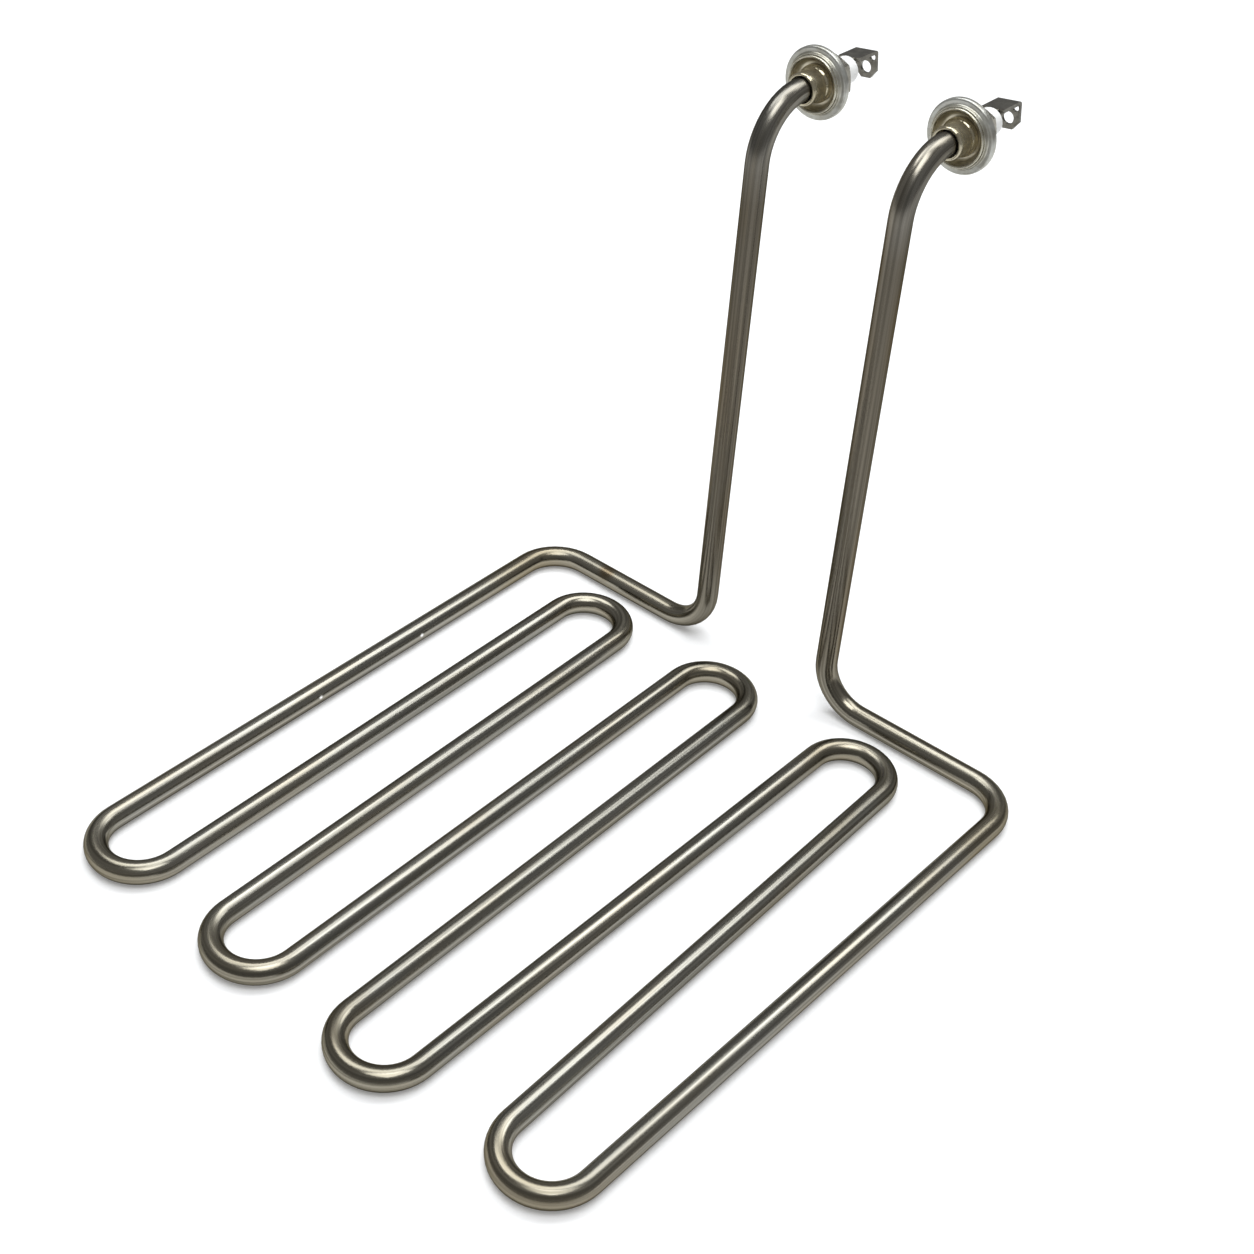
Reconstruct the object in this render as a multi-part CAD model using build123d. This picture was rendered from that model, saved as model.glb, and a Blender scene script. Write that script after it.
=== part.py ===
from build123d import *
import math
import os

# Tubular immersion heating element: one serpentine sheath whose two ends rise
# from the back of the coil and leave backwards through screwed gland fittings.
# Axes: X across the coil, Y from the front turns to the terminals, Z up.
# All lengths are in millimetres.

# ---- sheath ---------------------------------------------------------------
sheath_d = 8.2            # outside diameter of the swaged tube
sheath_r = sheath_d / 2
coil_z = sheath_r         # the coil's axis: the tube rests on the ground plane

# hand-bent hairpins: the turn centres sit within 2 mm of an even pitch
front_turn_x = (-90.6, -30.2, 28.5, 92.4)
front_turn_y = (77.5, 75.4, 73.9, 77.5)
front_turn_r = 15.3       # bend radius on the tube axis, front U-turns
back_turn_x = (-62.1, -1.0, 62.2)
back_turn_y = 269.6
back_turn_r = 14.45       # back U-turns
splay_left = 0.0          # outward lean of each outer leg, degrees
splay_right = 1.75

cross_y = 300.0           # the two cross pieces that lead in to the risers
corner_r = 16.5           # bend from an outer leg into its cross piece
foot_r = 17.5             # bend from a cross piece up into its riser
riser_x = (-27.3, 29.3)   # the two risers
arm_z = 218.7             # height of the terminal arms
top_r = 19.5              # bend from a riser back into its arm

# ---- gland stations, measured along an arm from the flange's front face ----
flange_y = 328.4          # where that front face stands
shank_end = 12.4          # end of the threaded shank; the sheath ends flush
bead_end = 18.9
mouth = -8.0              # open end of the ferrule

flange_r = 12.4
flange_t = 2.2
ridge_out, ridge_in = 10.4, 9.0     # the raised ring round the bowl
ridge_h = 2.0
bowl_depth = 0.9          # bowl floor, behind the flange's front face
bowl_floor_r = 6.9
shank_r = 6.0             # M12 x 1 shank
lead_r = 5.82             # its free end behind the nut, turned down to lead the nut on
lead_start = 0.3          # from the nut's face to the lead
lead_chamfer = 0.4
sheath_gap = 0.1          # running gap round the sheath

ferrule_r = 5.5
ferrule_foot_r = 6.5
ferrule_lip = 0.45        # recess round the tube at the ferrule's mouth

gasket_t, gasket_r = 1.5, 9.6
washer_t, washer_r = 1.0, 9.0
ring_gap = 0.15           # slip of the rings over the shank
nut_af = 15.0
nut_t = 5.4
nut_turn = 18.0           # the nut was left standing at this angle
thread_gap = 0.05

bead_r = 4.7
bead_chamfer = 0.5
pin_r = 1.5
pin_gap = 0.02
pin_depth = 18.0          # cold pin inside the sheath
seal_r, seal_depth = 3.1, 4.0

# ---- folded terminal lug ----------------------------------------------------
lug_t = 1.2
lug_w = 2.3               # half width of the tongue that carries the pin
lug_drop = 2.6            # the tongue's depth below the pin
lug_neck = 0.8            # from the bead to where the strip widens
lug_half = 4.2            # half width of the top plate and the screw tab
lug_top = 4.1
lug_length = 12.3         # bead to the tab's back face
lug_foot = 5.6            # the tab's depth below the pin
foot_cut_x, foot_cut_z = 2.4, 2.6
tab_hole_r = 2.1
tab_hole_z = -1.9
relief_r = 1.2
relief_x, relief_z = 2.6, 1.7
lug_bend = 1.2            # outside radius of the two folds
lug_turn = 8.0            # both lugs were set slightly round on their pins


def tangent_leg(centre_f, offset_f, centre_b, offset_b):
    """Unit normal of the straight leg lying offset_f from the front turn's
    centre and offset_b from the back turn's centre."""
    dx, dy = centre_b[0] - centre_f[0], centre_b[1] - centre_f[1]
    length = math.hypot(dx, dy)
    angle = math.atan2(dy, dx) - math.acos((offset_f - offset_b) / length)
    return math.cos(angle), math.sin(angle)


def arc_middle(centre, start, end, radius):
    """Half-way point of the short arc from start to end."""
    m = Vector(start) + Vector(end) - Vector(centre) * 2
    return Vector(centre) + m.normalized() * radius


def sheath_path():
    fronts = list(zip(front_turn_x, front_turn_y))
    backs = [(x, back_turn_y) for x in back_turn_x]
    legs = []                                   # (normal, front foot, back foot)
    for i in range(8):
        cf = fronts[i // 2]
        off_f = -front_turn_r if i % 2 == 0 else front_turn_r
        if i in (0, 7):
            splay = math.radians(-splay_left if i == 0 else splay_right)
            n = (math.cos(splay), -math.sin(splay))
            back = None
        else:
            cb = backs[(i - 1) // 2]
            off_b = back_turn_r if i % 2 == 0 else -back_turn_r
            n = tangent_leg(cf, off_f, cb, off_b)
            back = (cb[0] + n[0] * off_b, cb[1] + n[1] * off_b)
        legs.append((n, (cf[0] + n[0] * off_f, cf[1] + n[1] * off_f), back))

    z = coil_z
    edges = []

    def end_run(side):
        """Arm, top bend, riser, foot, cross piece and corner of one side,
        listed from the terminal inwards; returns the corner's leg point."""
        x = riser_x[side]
        out = -1 if side == 0 else 1
        tip = (x, flange_y + shank_end, arm_z)
        a0 = (x, cross_y + top_r, arm_z)
        a1 = (x, cross_y, arm_z - top_r)
        top_c = (x, cross_y + top_r, arm_z - top_r)
        f0 = (x, cross_y, z + foot_r)
        f1 = (x + out * foot_r, cross_y, z)
        foot_c = (x + out * foot_r, cross_y, z + foot_r)
        n, front, _ = legs[0 if side == 0 else 7]
        yc = cross_y - corner_r
        # the corner's centre stands corner_r inside the leg
        reach = n[0] * front[0] + n[1] * front[1] - out * corner_r
        xc = (reach - n[1] * yc) / n[0]
        c0 = (xc, cross_y, z)
        c1 = (xc + out * n[0] * corner_r, yc + out * n[1] * corner_r, z)
        corner_c = (xc, yc, z)
        run = [
            Line(tip, a0),
            ThreePointArc(a0, arc_middle(top_c, a0, a1, top_r), a1),
            Line(a1, f0),
            ThreePointArc(f0, arc_middle(foot_c, f0, f1, foot_r), f1),
            Line(f1, c0),
            ThreePointArc(c0, arc_middle(corner_c, c0, c1, corner_r), c1),
            Line(c1, (front[0], front[1], z)),
        ]
        return run

    edges += end_run(0)
    for k in range(4):                          # front turns and the legs between
        a = legs[2 * k][1] + (z,)
        b = legs[2 * k + 1][1] + (z,)
        nose = (front_turn_x[k], front_turn_y[k] - front_turn_r, z)
        edges.append(ThreePointArc(a, nose, b))
        if k < 3:
            p, q = legs[2 * k + 1][2] + (z,), legs[2 * k + 2][2] + (z,)
            edges.append(Line(b, p))
            edges.append(ThreePointArc(p, (back_turn_x[k], back_turn_y + back_turn_r, z), q))
            edges.append(Line(q, legs[2 * k + 2][1] + (z,)))
    edges += [e for e in reversed(end_run(1))]
    return Wire(edges)


def along_arm(side, shape):
    """Turn a piece built up along +Z so that it lies along its arm."""
    seat = Location((riser_x[side], flange_y, arm_z)) * Location((0, 0, 0), (-90, 0, 0))
    return seat * shape


def cyl(r, y0, y1, inner=0.0):
    body = Pos(0, 0, (y0 + y1) / 2) * Cylinder(r, y1 - y0)
    if inner:
        body -= Pos(0, 0, (y0 + y1) / 2) * Cylinder(inner, y1 - y0 + 2)
    return body


def turned(points):
    """Solid of revolution from (radius, station) points."""
    face = make_face(Plane.XZ * Polyline([(r, s) for r, s in points], close=True))
    return revolve(face, Axis.Z)


def sheath():
    path = sheath_path()
    start = Plane((riser_x[0], flange_y + shank_end, arm_z), x_dir=(1, 0, 0), z_dir=(0, -1, 0))
    tube = sweep(start * Circle(sheath_r), path=path)
    for side in (0, 1):                         # blind pin bore and seal pocket
        tube -= along_arm(side, cyl(pin_r + pin_gap, shank_end - pin_depth - 0.4, shank_end + 1))
        tube -= along_arm(side, cyl(seal_r, shank_end - seal_depth, shank_end + 1))
    return tube


def gland_body():
    """Dished flange, bowl and shank turned in one piece."""
    r0 = sheath_r + sheath_gap
    lead = flange_t + gasket_t + washer_t + nut_t + lead_start
    points = [
        (r0, shank_end), (lead_r - lead_chamfer, shank_end), (lead_r, shank_end - lead_chamfer),
        (lead_r, lead), (shank_r, lead), (shank_r, flange_t), (flange_r - 0.4, flange_t), (flange_r, flange_t - 0.4),
        (flange_r, 0.5), (flange_r - 0.5, 0.0), (ridge_out + 0.3, 0.0),
        (ridge_out, -0.4), (ridge_out - 0.3, -ridge_h + 0.5),
        (ridge_out - 0.7, -ridge_h), (ridge_in + 0.4, -ridge_h), (ridge_in, -ridge_h + 0.3),
        (ridge_in - 0.35, -ridge_h + 0.9), (ridge_in - 0.8, -0.3),
        (ridge_in - 1.3, 0.35), (bowl_floor_r, bowl_depth), (r0, bowl_depth),
    ]
    return turned(points)


def ferrule():
    """Collar brazed to the sheath, standing on the floor of the bowl."""
    r0 = sheath_r + 0.03
    points = [
        (r0, bowl_depth), (ferrule_foot_r, bowl_depth), (ferrule_foot_r, bowl_depth - 1.6),
        (ferrule_r + 0.25, bowl_depth - 2.4), (ferrule_r, bowl_depth - 3.4),
        (ferrule_r, mouth + 0.4), (ferrule_r - 0.35, mouth), (sheath_r + ferrule_lip, mouth),
        (sheath_r + ferrule_lip, mouth + 1.3), (r0, mouth + 1.7),
    ]
    return turned(points)


def gasket():
    return cyl(gasket_r, flange_t, flange_t + gasket_t, shank_r + ring_gap)


def washer():
    s = flange_t + gasket_t
    return cyl(washer_r, s, s + washer_t, shank_r + ring_gap)


def hex_nut():
    s = flange_t + gasket_t + washer_t
    corner = nut_af / math.sqrt(3)
    nut = Pos(0, 0, s) * Rot(0, 0, nut_turn) * extrude(RegularPolygon(corner, 6), nut_t)
    # both ends are turned to a cone, which rounds the six corners
    bevel = corner - nut_af / 2 + 0.1
    drop = bevel * math.tan(math.radians(30))
    e = s + nut_t
    nut &= turned([(0, s), (corner - bevel, s), (corner + 0.05, s + drop),
                   (corner + 0.05, e - drop), (corner - bevel, e), (0, e)])
    nut -= cyl(shank_r + thread_gap, s - 1, e + 1)
    return nut


def bead():
    c = bead_chamfer
    return turned([(pin_r + pin_gap, shank_end), (bead_r - c, shank_end), (bead_r, shank_end + c),
                   (bead_r, bead_end - c), (bead_r - c, bead_end), (pin_r + pin_gap, bead_end)])


def end_seal():
    return cyl(seal_r, shank_end - seal_depth, shank_end, pin_r + pin_gap)


def pin():
    rod = cyl(pin_r, shank_end - pin_depth, bead_end + lug_t + 0.3)
    # the head riveted over behind the tongue
    head = turned([(0, bead_end + lug_t), (2.1, bead_end + lug_t),
                   (1.8, bead_end + lug_t + 0.6), (0, bead_end + lug_t + 0.7)])
    return rod + head


def fold_profile(a, b):
    """L of two legs, outer corner on the origin, legs along -X and -Y."""
    t, r = lug_t, lug_bend
    m = r - r / math.sqrt(2)
    return make_face([
        Line((-a, 0), (-r, 0)), ThreePointArc((-r, 0), (-m, -m), (0, -r)), Line((0, -r), (0, -b)),
        Line((0, -b), (-t, -b)), Line((-t, -b), (-t, -t)), Line((-t, -t), (-a, -t)),
        Line((-a, -t), (-a, 0))])


def lug():
    """One strip folded twice: tongue on the pin, top plate, hanging screw tab.
    Drawn upright, Y along the arm from the flange's front face."""
    near = bead_end + lug_neck
    far = bead_end + lug_length
    tongue = extrude(Plane((lug_w, bead_end, lug_top), x_dir=(0, -1, 0), z_dir=(-1, 0, 0))
                     * fold_profile(lug_neck + 2 * lug_t, lug_top + lug_drop), 2 * lug_w)
    tongue -= Pos(0, bead_end, 0) * Rot(90, 0, 0) * Cylinder(pin_r + pin_gap, 4 * lug_t)
    tab = extrude(Plane((-lug_half, far, lug_top), x_dir=(0, 1, 0), z_dir=(1, 0, 0))
                  * fold_profile(far - near, lug_top + lug_foot), 2 * lug_half)
    # the tab's lower corners are cropped
    for hand in (-1, 1):
        crop = make_face(Plane.XZ.offset(-far - 1) * Polyline(
            (hand * lug_half, foot_cut_z - lug_foot), (hand * (lug_half - foot_cut_x), -lug_foot),
            (hand * (lug_half - foot_cut_x), -lug_foot - 1), (hand * (lug_half + 1), -lug_foot - 1),
            (hand * (lug_half + 1), foot_cut_z - lug_foot), close=True))
        tab -= extrude(crop, lug_t + 2, dir=(0, -1, 0))
    tab -= Pos(0, far, tab_hole_z) * Rot(90, 0, 0) * Cylinder(tab_hole_r, 4 * lug_t)
    tab -= Pos(relief_x, far, relief_z) * Rot(90, 0, 0) * Cylinder(relief_r, 4 * lug_t)
    return tongue + tab


def on_pin(side, shape):
    return Pos(riser_x[side], flange_y, arm_z) * Rot(0, -lug_turn, 0) * shape


os.makedirs("parts", exist_ok=True)

pieces = {"sheath": sheath()}
for side, name in ((0, "left"), (1, "right")):
    pieces["ferrule_" + name] = along_arm(side, ferrule())
    pieces["gland_" + name] = along_arm(side, gland_body())
    pieces["gasket_" + name] = along_arm(side, gasket())
    pieces["washer_" + name] = along_arm(side, washer())
    pieces["nut_" + name] = along_arm(side, hex_nut())
    pieces["bead_" + name] = along_arm(side, bead())
    pieces["seal_" + name] = along_arm(side, end_seal())
    pieces["pin_" + name] = along_arm(side, pin())
    pieces["lug_" + name] = on_pin(side, lug())

# the part's own origin: on the ground, under the middle of everything
boxes = [shape.bounding_box() for shape in pieces.values()]
mid_x = (min(b.min.X for b in boxes) + max(b.max.X for b in boxes)) / 2
mid_y = (min(b.min.Y for b in boxes) + max(b.max.Y for b in boxes)) / 2
for name, shape in pieces.items():
    export_step(Pos(-mid_x, -mid_y, 0) * shape, "parts/" + name + ".step")
    print(name, "solids", len(shape.solids()), "volume", round(shape.volume, 1))
print("origin at", mid_x, mid_y)
for axis in "XYZ":
    print(axis, min(getattr(b.min, axis) for b in boxes), max(getattr(b.max, axis) for b in boxes))
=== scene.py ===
import bpy, math
from mathutils import Matrix, Vector

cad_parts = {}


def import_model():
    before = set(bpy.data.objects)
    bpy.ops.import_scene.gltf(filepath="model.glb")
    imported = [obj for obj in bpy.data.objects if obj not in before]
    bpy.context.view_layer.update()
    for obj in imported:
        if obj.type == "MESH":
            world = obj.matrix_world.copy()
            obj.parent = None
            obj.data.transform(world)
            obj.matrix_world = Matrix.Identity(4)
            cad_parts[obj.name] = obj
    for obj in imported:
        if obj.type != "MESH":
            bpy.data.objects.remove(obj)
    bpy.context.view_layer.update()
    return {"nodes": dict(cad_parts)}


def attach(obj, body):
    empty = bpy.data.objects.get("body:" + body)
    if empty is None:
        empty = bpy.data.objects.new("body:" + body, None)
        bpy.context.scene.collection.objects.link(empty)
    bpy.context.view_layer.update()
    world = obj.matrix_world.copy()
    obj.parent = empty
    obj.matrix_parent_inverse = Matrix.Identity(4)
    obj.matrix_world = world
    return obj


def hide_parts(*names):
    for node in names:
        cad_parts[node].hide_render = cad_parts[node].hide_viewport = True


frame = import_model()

nodes = frame["nodes"]
MM = 0.001

# ------------------------------------------------------------------ sizes, mm
# The drawing frame has X right, Y back and Z up, with the coil flat on Z = 0.
ORIGIN = (4.04665, 207.05)      # the row frame's zero in the drawing
TUBE_R = 4.1
TUBE_LENGTH = 2566.0
FRONT = [(-90.6, 77.5), (-30.2, 75.4), (28.5, 73.9), (92.4, 77.5)]    # centres of the front turns
BACK = [(-62.1, 269.6), (-1.0, 269.6), (62.2, 269.6)]                 # and of the back turns
FRONT_R, BACK_R = 15.3, 14.45   # centre-line radii of the turns
SPLAY = (0.0, 1.75)             # degrees that the two outer legs lean outward
CROSS_Y = 300.0                 # the cross pieces that lead in to the risers
CORNER_R, FOOT_R, TOP_R = 16.5, 17.5, 19.5
RISER_X = (-27.3, 29.3)
ARM_Z = 218.7
FLANGE_Y = 328.4                # the flanges' front face, station 0 of the arms
SHANK_END = 12.4                # stations count back from that face
SHANK_BORE_R = TUBE_R + 0.1
FERRULE_BORE_R = TUBE_R + 0.03
BEAD_BORE_R = 1.52

# ------------------------------------------------------- colours on the tube
# local marks: place in the drawing, radius, colour
MARKS = [((-76.1, 298.4, 7.5), 4.5, (0.165, 0.135, 0.095)),     # brown stain, left cross piece
         ((-101.95, 167.7, 5.2), 1.0, (0.92, 0.92, 0.90)),      # bright specks, first leg
         ((-101.9, 219.6, 5.0), 1.0, (0.92, 0.92, 0.90))]
# tint from front to back: place along the row's Y (0 at -160 mm, 1 at 160 mm), colour
BEND_TINT = [(0.047, (0.90, 0.855, 0.765)), (0.109, (1, 1, 1)), (0.656, (1, 1, 1)),
             (0.694, (0.93, 0.895, 0.825)), (0.756, (0.93, 0.895, 0.825)), (0.78, (1, 1, 1))]
# tint and painted shade from the coil's middle to either end: share of half the tube's length,
# colour
END_TINT_AND_SHADE = [(0.70, (1, 1, 1)),
            (0.74, (0.95, 0.915, 0.845)), (0.80, (0.95, 0.915, 0.845)),      # cross piece
            # the riser stops are painted shade, darker for the darker surroundings that the
            # risers reflect
            (0.835, (0.53, 0.490, 0.440)), (0.90, (0.48, 0.440, 0.393)),     # riser
            (0.948, (0.42, 0.385, 0.347)), (0.958, (0.55, 0.53, 0.52)),
            (0.968, (0.88, 0.875, 0.89)), (0.985, (0.93, 0.925, 0.94))]      # top bend and arm


def world(x, y, z):
    """From the drawing's millimetres to the row's metres."""
    return Vector(((x - ORIGIN[0]) * MM, (y - ORIGIN[1]) * MM, z * MM))


# ------------------------------------------------------------------ tube path
def leg_normal(cf, of, cb, ob):
    """Unit normal of the line at offset of from centre cf and offset ob from centre cb."""
    d = Vector((cb[0] - cf[0], cb[1] - cf[1]))
    a = math.atan2(d.y, d.x) - math.acos((of - ob) / d.length)
    return Vector((math.cos(a), math.sin(a)))


def tube_points(step=4.0):
    """Centre line from the left terminal to the right one, as (point, tangent)."""
    z0 = TUBE_R
    feet = []       # per leg: normal, front end, back end
    for i in range(8):
        cf = Vector(FRONT[i // 2])
        of = -FRONT_R if i % 2 == 0 else FRONT_R
        if i in (0, 7):
            s = math.radians(-SPLAY[0] if i == 0 else SPLAY[1])
            n, back = Vector((math.cos(s), -math.sin(s))), None
        else:
            cb = Vector(BACK[(i - 1) // 2])
            ob = BACK_R if i % 2 == 0 else -BACK_R
            n = leg_normal(cf, of, cb, ob)
            back = cb + n * ob
        feet.append((n, cf + n * of, back))
    out = []

    def line(a, b, last=False):
        a, b = Vector(a), Vector(b)
        n = max(1, round((b - a).length / step))
        t = (b - a).normalized()
        for k in range(n + (1 if last else 0)):
            out.append((a.lerp(b, k / n), t))

    def arc(c, a, b, turn):
        """Arc about c from a to b through turn radians."""
        c, a, b = Vector(c), Vector(a), Vector(b)
        u = a - c
        if abs(abs(turn) - math.pi) < 0.3:
            axis = Vector((0, 0, 1 if turn > 0 else -1))
        else:
            axis = u.cross(b - c).normalized()
        ang = abs(turn)
        n = max(6, round(ang * u.length / step * 1.6))
        for k in range(n):
            r = Matrix.Rotation(ang * k / n, 3, axis)
            p = r @ u
            out.append((c + p, axis.cross(p).normalized()))

    def half(side):
        """The end run of one side as a list of segments, terminal first."""
        x, o = RISER_X[side], (-1 if side == 0 else 1)
        n, front, _ = feet[0 if side == 0 else 7]
        yc = CROSS_Y - CORNER_R
        xc = (n.dot(front) - o * CORNER_R - n.y * yc) / n.x
        tip = (x, FLANGE_Y + SHANK_END, ARM_Z)
        a0, a1 = (x, CROSS_Y + TOP_R, ARM_Z), (x, CROSS_Y, ARM_Z - TOP_R)
        f0, f1 = (x, CROSS_Y, z0 + FOOT_R), (x + o * FOOT_R, CROSS_Y, z0)
        c0 = (xc, CROSS_Y, z0)
        c1 = (xc + o * n.x * CORNER_R, yc + o * n.y * CORNER_R, z0)
        quarter = math.pi / 2
        return [("line", tip, a0),
                ("arc", (x, CROSS_Y + TOP_R, ARM_Z - TOP_R), a0, a1, quarter),
                ("line", a1, f0),
                ("arc", (x + o * FOOT_R, CROSS_Y, z0 + FOOT_R), f0, f1, quarter),
                ("line", f1, c0), ("arc", (xc, yc, z0), c0, c1, None),
                ("line", c1, (front.x, front.y, z0))]

    def run(seg, backward=False, last=False):
        kind, ends = seg[0], seg[-2:] if seg[0] == "line" else seg[2:4]
        a, b = reversed(ends) if backward else ends
        if kind == "line":
            line(a, b, last)
        else:
            c, turn = seg[1], seg[4]
            arc(c, a, b, turn or (Vector(a) - Vector(c)).angle(Vector(b) - Vector(c)))

    def hairpin(c, a, b, way, n=26):
        """A turn in plan about c from a to b, anticlockwise where way is 1."""
        u, v = a - Vector(c), b - Vector(c)
        ang = way * (math.atan2(v.y, v.x) - math.atan2(u.y, u.x)) % (2 * math.pi)
        for j in range(n):
            r = Matrix.Rotation(way * ang * j / n, 3, "Z") @ Vector((u.x, u.y, 0))
            t = Vector((-way * r.y, way * r.x, 0)).normalized()
            out.append((Vector((c[0], c[1], z0)) + r, t))

    def leg(a, b):
        line((a.x, a.y, z0), (b.x, b.y, z0))

    for seg in half(0):
        run(seg)
    for k in range(4):
        out_leg, back_leg = feet[2 * k], feet[2 * k + 1]
        hairpin(FRONT[k], out_leg[1], back_leg[1], 1)
        if k < 3:
            leg(back_leg[1], back_leg[2])
            hairpin(BACK[k], back_leg[2], feet[2 * k + 2][2], -1)
            leg(feet[2 * k + 2][2], feet[2 * k + 2][1])
    segs = half(1)[::-1]
    for seg in segs:
        run(seg, backward=True, last=seg is segs[-1])
    return out


def smooth_mesh(name, verts, faces, angle=35):
    me = bpy.data.meshes.new(name)
    me.from_pydata([tuple(v) for v in verts], [], faces)
    me.update()
    ob = bpy.data.objects.new(name, me)
    bpy.context.scene.collection.objects.link(ob)
    for p in me.polygons:
        p.use_smooth = True
    me.set_sharp_from_angle(angle=math.radians(angle))
    return ob


def quads(rings, seg, first=0):
    """Faces between rings of seg points that follow each other in the vertex list."""
    out = []
    for i in range(rings - 1):
        p, q = first + i * seg, first + (i + 1) * seg
        for k in range(seg):
            k2 = (k + 1) % seg
            out.append((p + k, p + k2, q + k2, q + k))
    return out


def point_values(ob, name, values):
    ob.data.attributes.new(name, "FLOAT", "POINT").data.foreach_set("value", values)


def sweep_tube(seg=40):
    """The sheath's skin, with the distance along it and the place on the ring as attributes."""
    pts = tube_points()
    verts, along, around = [], [], []
    normal = Vector((0, 0, 1))
    dist, last = 0.0, pts[0][0]
    for i, (p, t) in enumerate(pts):
        dist += (p - last).length
        last = p
        if i:
            normal = normal - t * normal.dot(t)
        normal.normalize()
        side = t.cross(normal)
        for k in range(seg):
            a = 2 * math.pi * k / seg
            verts.append(world(*(p + (normal * math.cos(a) + side * math.sin(a)) * TUBE_R)))
            along.append(dist)
            around.append(a)
    rings = len(pts)
    caps = [tuple(reversed(range(seg))), tuple((rings - 1) * seg + k for k in range(seg))]
    ob = smooth_mesh("sheath_tube", verts, quads(rings, seg) + caps, 50)
    point_values(ob, "along", along)
    point_values(ob, "ring_x", [math.cos(a) for a in around])
    point_values(ob, "ring_y", [math.sin(a) for a in around])
    return ob


# ------------------------------------------------------------- turned pieces
def arm_point(side, r, a, s):
    """Radius r, angle a about the arm, station s from the flange face."""
    return world(RISER_X[side] + r * math.cos(a), FLANGE_Y + s, ARM_Z + r * math.sin(a))


def rounded(profile, radius=0.25, steps=3):
    """Breaks each corner of an open (r, s) profile with a small curve."""
    out = [Vector(profile[0])]
    for i in range(1, len(profile) - 1):
        a, b, c = Vector(profile[i - 1]), Vector(profile[i]), Vector(profile[i + 1])
        d1, d2 = (a - b), (c - b)
        k = min(radius, d1.length * 0.45, d2.length * 0.45)
        p, q = b + d1.normalized() * k, b + d2.normalized() * k
        for j in range(steps + 1):
            t = j / steps
            out.append(p * (1 - t) ** 2 + b * 2 * t * (1 - t) + q * t * t)
    out.append(Vector(profile[-1]))
    return out


def lathe(name, side, profile, seg=96, angle=40):
    """A closed (r, s) profile turned about one arm, with the radius as an attribute."""
    verts = [arm_point(side, p[0], 2 * math.pi * k / seg, p[1])
             for p in profile for k in range(seg)]
    faces = quads(len(profile), seg)
    end = (len(profile) - 1) * seg
    for k in range(seg):
        k2 = (k + 1) % seg
        faces.append((end + k, end + k2, k2, k))
    ob = smooth_mesh(name, verts, faces, angle)
    point_values(ob, "rad", [p[0] for p in profile for k in range(seg)])
    return ob


def gland_profile():
    """The turned flange, ridge and bowl, with the shank's thread left to its own piece."""
    outer = rounded([(5.62, 11.95), (5.62, 2.2), (12.15, 2.2), (12.4, 1.95), (12.4, 0.45),
                     (11.9, 0.0), (10.6, 0.0), (10.35, -0.5), (10.2, -1.25), (9.95, -1.3),
                     (9.8, -1.05), (9.68, -1.75), (9.45, -2.0), (9.02, -1.72)], 0.35, 4)
    # the bowl is one smooth hollow from the ridge down to the ferrule's foot
    bowl = [Vector((9.02 - 2.15 * t ** 1.25, -1.72 + 2.62 * math.sin(t * math.pi / 2)))
            for t in (j / 12 for j in range(1, 13))]
    return outer + bowl + [Vector((SHANK_BORE_R, 0.9)), Vector((SHANK_BORE_R, 11.95))]


def thread(name, side, seg=72):
    """M12 x 1 thread on the shank: a helical V swept round the arm."""
    pitch, crest_r, depth = 1.0, 6.0, 0.42
    start, end, lead = 2.25, SHANK_END, 0.5
    rows = int((end - start) / (pitch / 8))
    verts = []
    for i in range(rows + 1):
        s = start + (end - start) * i / rows
        for k in range(seg):
            v = abs((s / pitch - k / seg) % 1.0 * 2 - 1)
            r = crest_r - depth * min(1.0, max(0.0, (v - 0.1) / 0.8))
            if s > end - lead:
                r = min(r, crest_r - 0.5 + (end - s))
            verts.append(arm_point(side, r, 2 * math.pi * k / seg, s))
    base = len(verts)
    for s in (end, start):
        for k in range(seg):
            verts.append(arm_point(side, SHANK_BORE_R, 2 * math.pi * k / seg, s))
    faces = quads(rows + 3, seg)
    for k in range(seg):
        k2 = (k + 1) % seg
        faces.append((base + seg + k, base + seg + k2, k2, k))
    return smooth_mesh(name, verts, faces, 30)


def ferrule_profile():
    """The collar from its foot in the bowl to its lipped mouth, and the gap behind the lip."""
    return rounded([(FERRULE_BORE_R, 0.9), (6.5, 0.9), (6.5, -0.5), (6.1, -1.1),
                    (5.72, -1.6), (5.5, -2.6), (5.5, -7.5), (5.15, -8.0), (4.62, -8.0),
                    (4.55, -7.9), (4.55, -6.7), (FERRULE_BORE_R, -6.3)], 0.3, 4)


def bead_profile():
    return rounded([(BEAD_BORE_R, SHANK_END), (4.3, SHANK_END), (4.7, 12.8), (4.7, 18.5),
                    (4.3, 18.9), (2.0, 18.9), (BEAD_BORE_R, 18.6)], 0.35, 4)


# ------------------------------------------------------------------ materials
def new_mat(name):
    """A material with a bare Principled shader: material, node tree, shader."""
    m = bpy.data.materials.new(name)
    m.use_nodes = True
    nt = m.node_tree
    nt.nodes.clear()
    out = nt.nodes.new("ShaderNodeOutputMaterial")
    sh = nt.nodes.new("ShaderNodeBsdfPrincipled")
    nt.links.new(sh.outputs["BSDF"], out.inputs["Surface"])
    return m, nt, sh


def add(nt, kind, **values):
    """A node with _names set on the node and other names on its inputs, __ for a space."""
    n = nt.nodes.new(kind)
    for k, v in values.items():
        if k.startswith("_"):
            setattr(n, k[1:], v)
        else:
            n.inputs[k.replace("__", " ")].default_value = v
    return n


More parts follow.
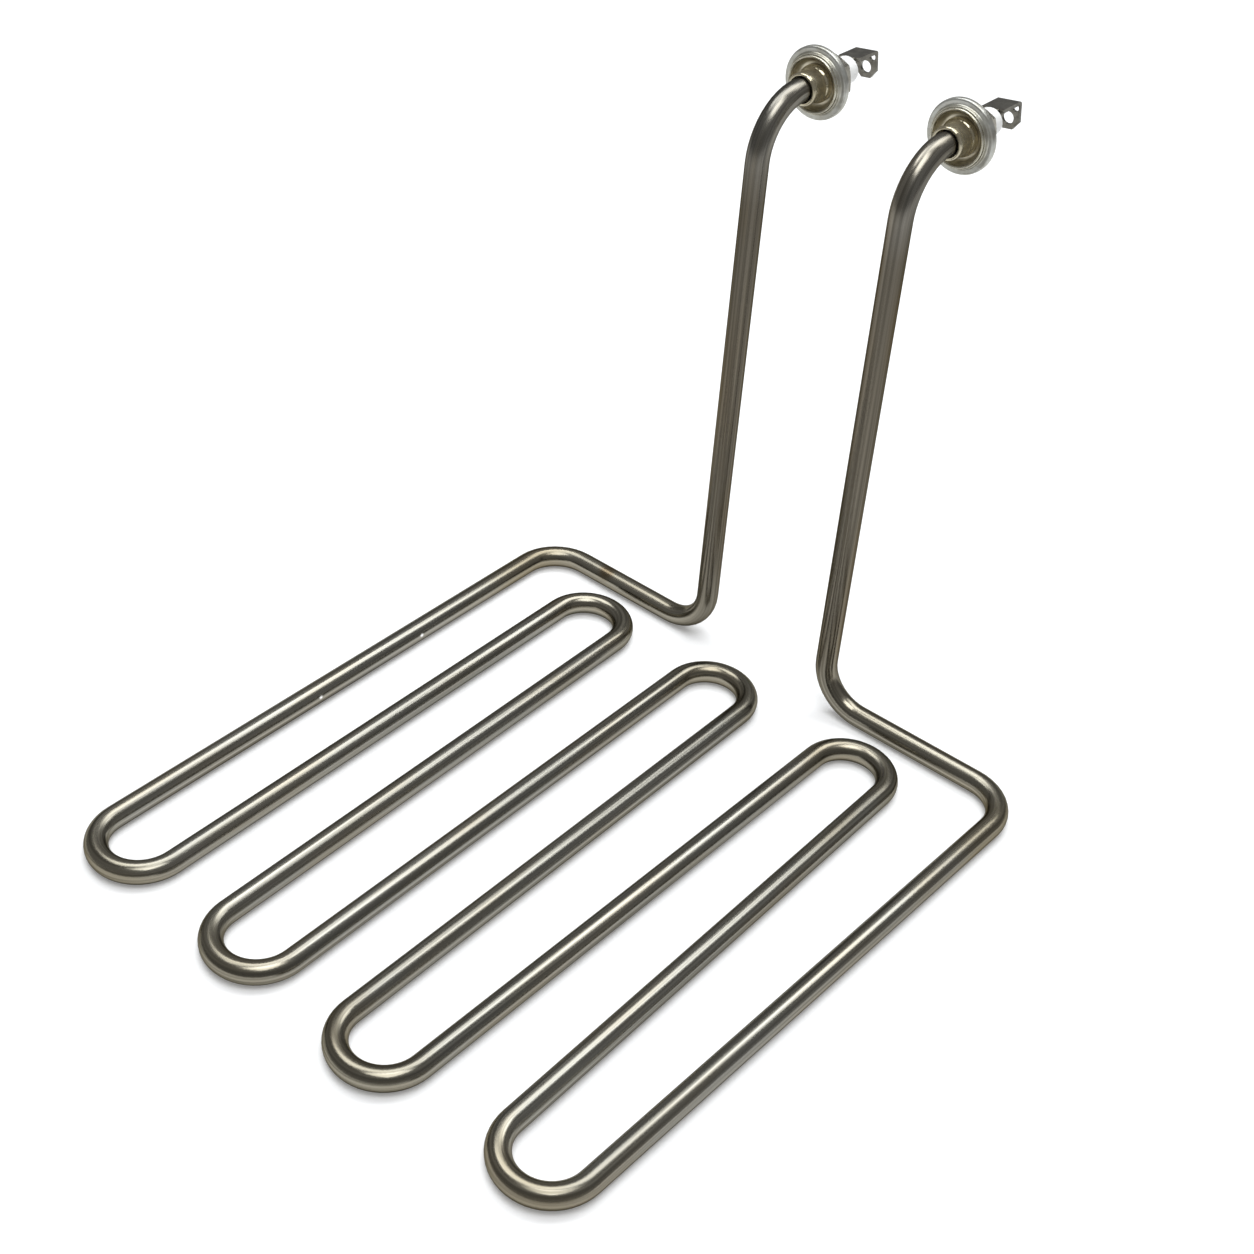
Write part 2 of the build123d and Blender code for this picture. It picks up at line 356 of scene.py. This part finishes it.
def ramp(nt, fac, stops):
    r = nt.nodes.new("ShaderNodeValToRGB")
    e = r.color_ramp.elements
    while len(e) < len(stops):
        e.new(0.5)
    for el, (pos, col) in zip(e, stops):
        el.position = pos
        el.color = (*col, 1) if len(col) == 3 else col
    nt.links.new(fac, r.inputs["Fac"])
    return r


def grey(v):
    return (v, v, v)


def multiply(nt, a, b, factor=1.0):
    """The product of two colours."""
    mix = add(nt, "ShaderNodeMix", _data_type="RGBA", _blend_type="MULTIPLY")
    mix.inputs["Factor"].default_value = factor
    nt.links.new(a, mix.inputs["A"])
    nt.links.new(b, mix.inputs["B"])
    return mix.outputs["Result"]


def scaled(nt, value, factor):
    k = add(nt, "ShaderNodeMath", _operation="MULTIPLY")
    k.inputs[1].default_value = factor
    nt.links.new(value, k.inputs[0])
    return k.outputs[0]


def bump(nt, sh, height, strength, distance):
    b = add(nt, "ShaderNodeBump", Strength=strength, Distance=distance)
    nt.links.new(height, b.inputs["Height"])
    nt.links.new(b.outputs["Normal"], sh.inputs["Normal"])


def tube_material(length):
    """Drawn satin steel: streaks that follow the tube, brown at bends, painted shade that darkens
    the risers.
    """
    m, nt, sh = new_mat("satin_tube")
    sh.inputs["Metallic"].default_value = 1.0
    sh.inputs["Specular Tint"].default_value = (0.35, 0.34, 0.32, 1)
    along, ring_x, ring_y = (add(nt, "ShaderNodeAttribute", _attribute_name=n).outputs["Fac"]
                             for n in ("along", "ring_x", "ring_y"))

    def noise(per_mm, per_ring, detail, roughness):
        """Noise stretched along the tube, without a seam round it."""
        c = add(nt, "ShaderNodeCombineXYZ")
        for value, factor, sock in ((ring_x, per_ring, "X"), (ring_y, per_ring, "Y"),
                                    (along, per_mm, "Z")):
            nt.links.new(scaled(nt, value, factor), c.inputs[sock])
        n = add(nt, "ShaderNodeTexNoise", Scale=1.0, Detail=detail, Roughness=roughness)
        nt.links.new(c.outputs[0], n.inputs["Vector"])
        return n.outputs["Fac"]

    # long drawn streaks, and a broad heat tint that comes and goes along the tube
    base = ramp(nt, noise(0.006, 4.6, 1.0, 0.6),
                [(0.32, (0.170, 0.164, 0.142)), (0.5, (0.238, 0.230, 0.201)),
                 (0.68, (0.325, 0.315, 0.279))])
    warm = ramp(nt, noise(0.018, 0.8, 2.0, 0.5),
                [(0.45, (1.0, 1.0, 1.0)), (0.68, (1.0, 0.93, 0.82))])
    colour = multiply(nt, base.outputs["Color"], warm.outputs["Color"], 0.7)
    # the bends took a brown tint when they were made, the front ones most
    place = add(nt, "ShaderNodeTexCoord")
    split = add(nt, "ShaderNodeSeparateXYZ")
    nt.links.new(place.outputs["Object"], split.inputs[0])
    depth = add(nt, "ShaderNodeMapRange", From__Min=-0.16, From__Max=0.16)
    nt.links.new(split.outputs["Y"], depth.inputs["Value"])
    bends = ramp(nt, depth.outputs["Result"], BEND_TINT)
    colour = multiply(nt, colour, bends.outputs["Color"])
    for centre, radius, mark in MARKS:
        gap = add(nt, "ShaderNodeVectorMath", _operation="DISTANCE")
        gap.inputs[1].default_value = world(*centre)
        nt.links.new(place.outputs["Object"], gap.inputs[0])
        near = add(nt, "ShaderNodeMapRange", From__Min=radius * MM, From__Max=0.4 * radius * MM)
        nt.links.new(gap.outputs["Value"], near.inputs["Value"])
        spot = add(nt, "ShaderNodeMix", _data_type="RGBA", _blend_type="MIX")
        spot.inputs["B"].default_value = (*mark, 1)
        nt.links.new(near.outputs["Result"], spot.inputs["Factor"])
        nt.links.new(colour, spot.inputs["A"])
        colour = spot.outputs["Result"]
    # the risers are darker and browner than the coil, the arms less so: painted shade for the
    # darker surroundings they reflect
    mid = add(nt, "ShaderNodeMath", _operation="SUBTRACT")
    mid.inputs[1].default_value = length / 2
    nt.links.new(along, mid.inputs[0])
    far = add(nt, "ShaderNodeMath", _operation="ABSOLUTE")
    nt.links.new(mid.outputs[0], far.inputs[0])
    part = add(nt, "ShaderNodeMapRange", From__Min=0.0, From__Max=length / 2)
    nt.links.new(far.outputs[0], part.inputs["Value"])
    tone = ramp(nt, part.outputs["Result"], END_TINT_AND_SHADE)
    nt.links.new(multiply(nt, colour, tone.outputs["Color"]), sh.inputs["Base Color"])
    rough = ramp(nt, noise(0.006, 3.0, 0.0, 0.5), [(0.3, grey(0.20)), (0.7, grey(0.29))])
    nt.links.new(rough.outputs["Color"], sh.inputs["Roughness"])
    return m


def plated(name, dark, light, r_lo, r_hi, scale=400.0, bump_strength=0.05):
    """Plated or rolled sheet and bar: a fine mottle between two tones."""
    m, nt, sh = new_mat(name)
    sh.inputs["Metallic"].default_value = 1.0
    tc = add(nt, "ShaderNodeTexCoord")
    n1 = add(nt, "ShaderNodeTexNoise", Scale=scale, Detail=3.0, Roughness=0.6)
    nt.links.new(tc.outputs["Object"], n1.inputs["Vector"])
    c = ramp(nt, n1.outputs["Fac"], [(0.35, dark), (0.65, light)])
    nt.links.new(c.outputs["Color"], sh.inputs["Base Color"])
    n2 = add(nt, "ShaderNodeTexNoise", Scale=scale * 3, Detail=2.0)
    nt.links.new(tc.outputs["Object"], n2.inputs["Vector"])
    r = ramp(nt, n2.outputs["Fac"], [(0.3, grey(r_lo)), (0.7, grey(r_hi))])
    nt.links.new(r.outputs["Color"], sh.inputs["Roughness"])
    bump(nt, sh, n2.outputs["Fac"], bump_strength, 0.0001)
    return m


def turned_metal(name, stops, rough_stops, grain, bump_strength):
    """Polished turned metal: tone and gloss follow the radius, over a slow waviness."""
    m, nt, sh = new_mat(name)
    sh.inputs["Metallic"].default_value = 0.8
    sh.inputs["Specular Tint"].default_value = (0.8, 0.78, 0.72, 1)
    rad = add(nt, "ShaderNodeAttribute", _attribute_name="rad")
    span = add(nt, "ShaderNodeMapRange", From__Min=4.0, From__Max=12.5)
    nt.links.new(rad.outputs["Fac"], span.inputs["Value"])
    c = ramp(nt, span.outputs["Result"], stops)
    tc = add(nt, "ShaderNodeTexCoord")
    n1 = add(nt, "ShaderNodeTexNoise", Scale=grain, Detail=3.0, Roughness=0.6)
    nt.links.new(tc.outputs["Object"], n1.inputs["Vector"])
    var = ramp(nt, n1.outputs["Fac"], [(0.35, (0.72, 0.70, 0.66)), (0.62, (1, 1, 1))])
    nt.links.new(multiply(nt, c.outputs["Color"], var.outputs["Color"]), sh.inputs["Base Color"])
    r = ramp(nt, span.outputs["Result"], rough_stops)
    nt.links.new(r.outputs["Color"], sh.inputs["Roughness"])
    bump(nt, sh, n1.outputs["Fac"], bump_strength, 0.0006)
    return m


def dull(name, a, b, rough, scale=500.0):
    """Ceramic, rubber or resin: one roughness and a faint mottle."""
    m, nt, sh = new_mat(name)
    sh.inputs["Roughness"].default_value = rough
    tc = add(nt, "ShaderNodeTexCoord")
    n1 = add(nt, "ShaderNodeTexNoise", Scale=scale, Detail=4.0)
    nt.links.new(tc.outputs["Object"], n1.inputs["Vector"])
    c = ramp(nt, n1.outputs["Fac"], [(0.35, a), (0.65, b)])
    nt.links.new(c.outputs["Color"], sh.inputs["Base Color"])
    return m


mats = {
    "tube": tube_material(TUBE_LENGTH),
    "gland": turned_metal("bright_nickel",
                          [(0.0, (0.62, 0.565, 0.43)), (0.50, (0.64, 0.60, 0.475)),
                           (0.60, (0.57, 0.55, 0.46)), (0.75, (0.50, 0.49, 0.43)),
                           (0.80, (0.47, 0.47, 0.43)), (1.0, (0.50, 0.505, 0.475))],
                          [(0.45, grey(0.36)), (0.62, grey(0.22)), (0.82, grey(0.32))],
                          260.0, 0.08),
    "ferrule": turned_metal("warm_nickel",
                            [(0.0, (0.46, 0.42, 0.31)), (0.17, (0.50, 0.455, 0.34)),
                             (0.3, (0.42, 0.37, 0.26))],
                            [(0.1, grey(0.13)), (0.4, grey(0.10))], 210.0, 0.35),
    "nut": plated("nut_nickel", (0.33, 0.315, 0.265), (0.46, 0.44, 0.385), 0.16, 0.28),
    "washer": plated("washer_steel", (0.52, 0.51, 0.48), (0.64, 0.63, 0.60), 0.25, 0.38),
    "lug": plated("lug_steel", (0.125, 0.118, 0.10), (0.205, 0.195, 0.167), 0.28, 0.40, 350.0),
    "pin": plated("pin_steel", (0.6, 0.58, 0.54), (0.7, 0.68, 0.64), 0.2, 0.3),
    "gasket": dull("silicone", (0.80, 0.80, 0.78), (0.86, 0.86, 0.84), 0.6),
    "bead": dull("steatite", (0.88, 0.88, 0.86), (0.93, 0.93, 0.915), 0.32),
    "seal": dull("resin", (0.72, 0.70, 0.64), (0.80, 0.78, 0.72), 0.5),
}


def paint(ob, key):
    ob.data.materials.clear()
    ob.data.materials.append(mats[key])


# --------------------------------------------------------------------- pieces
def place_piece(ob, material, replaced=None):
    paint(ob, material)
    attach(ob, "root")
    if replaced:
        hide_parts(replaced)


place_piece(sweep_tube(), "tube", "sheath")
for side, tag in ((0, "left"), (1, "right")):
    place_piece(lathe("gland_turned_" + tag, side, gland_profile(), 128),
                "gland", "gland_" + tag)
    place_piece(thread("shank_thread_" + tag, side), "nut")
    place_piece(lathe("ferrule_turned_" + tag, side, ferrule_profile()),
                "ferrule", "ferrule_" + tag)
    place_piece(lathe("bead_round_" + tag, side, bead_profile()),
                "bead", "bead_" + tag)
    for key in ("nut", "washer", "lug", "pin", "gasket", "seal"):
        paint(nodes[key + "_" + tag], key)

# ---------------------------------------------------------------------- stage
bpy.ops.mesh.primitive_plane_add(size=12, location=(0, 0, 0))
floor = bpy.context.object
floor.name = "floor"
m, nt, sh = new_mat("pale_floor")
sh.inputs["Base Color"].default_value = (0.9, 0.9, 0.9, 1)
sh.inputs["Roughness"].default_value = 0.9
sh.inputs["Specular IOR Level"].default_value = 0.1
# the floor reads white to the camera and in reflections, and still takes the shadow
lp = add(nt, "ShaderNodeLightPath")
seen = add(nt, "ShaderNodeMath", _operation="MAXIMUM")
nt.links.new(lp.outputs["Is Camera Ray"], seen.inputs[0])
nt.links.new(lp.outputs["Is Glossy Ray"], seen.inputs[1])
through = add(nt, "ShaderNodeMath", _operation="MAXIMUM")
nt.links.new(seen.outputs[0], through.inputs[0])
nt.links.new(lp.outputs["Is Transmission Ray"], through.inputs[1])
sh.inputs["Emission Color"].default_value = (1, 1, 1, 1)
nt.links.new(scaled(nt, through.outputs[0], 0.2), sh.inputs["Emission Strength"])
floor.data.materials.append(m)

studio = bpy.data.worlds.new("studio")
bpy.context.scene.world = studio
studio.use_nodes = True
bg = studio.node_tree.nodes["Background"]
bg.inputs["Color"].default_value = (1, 1, 1, 1)
bg.inputs["Strength"].default_value = 0.25


def lamp(name, location, size_x, size_y, turn, power):
    """A softbox that looks straight down, turned about the vertical by degrees."""
    light = bpy.data.lights.new(name, "AREA")
    light.energy = power
    light.color = (0.965, 0.983, 1.0)
    light.shape = "RECTANGLE"
    light.size, light.size_y = size_x, size_y
    ob = bpy.data.objects.new(name, light)
    bpy.context.scene.collection.objects.link(ob)
    ob.location = location
    ob.rotation_euler = (0, 0, math.radians(turn))


# the long one runs aslant, so that its band shows on the legs and on the cross pieces
lamp("softbox", (-0.22, 0.52, 1.3), 1.9, 0.67, 47, 16.5)
lamp("top", (0.25, -0.25, 1.4), 0.8, 0.8, 0, 10.0)

# --------------------------------------------------------------------- camera
# solved from the photograph
cam_data = bpy.data.cameras.new("camera")
cam = bpy.data.objects.new("camera", cam_data)
bpy.context.scene.collection.objects.link(cam)
cam_data.sensor_width = 36
cam_data.lens = 54.513
cam_data.clip_start, cam_data.clip_end = 0.01, 20
cam.location = (0.300118, -0.392725, 0.459623)
cam.rotation_euler = tuple(math.radians(v) for v in (52.00186, -3.73093, 40.14574))
bpy.context.scene.camera = cam
bpy.context.scene.view_settings.view_transform = "Standard"
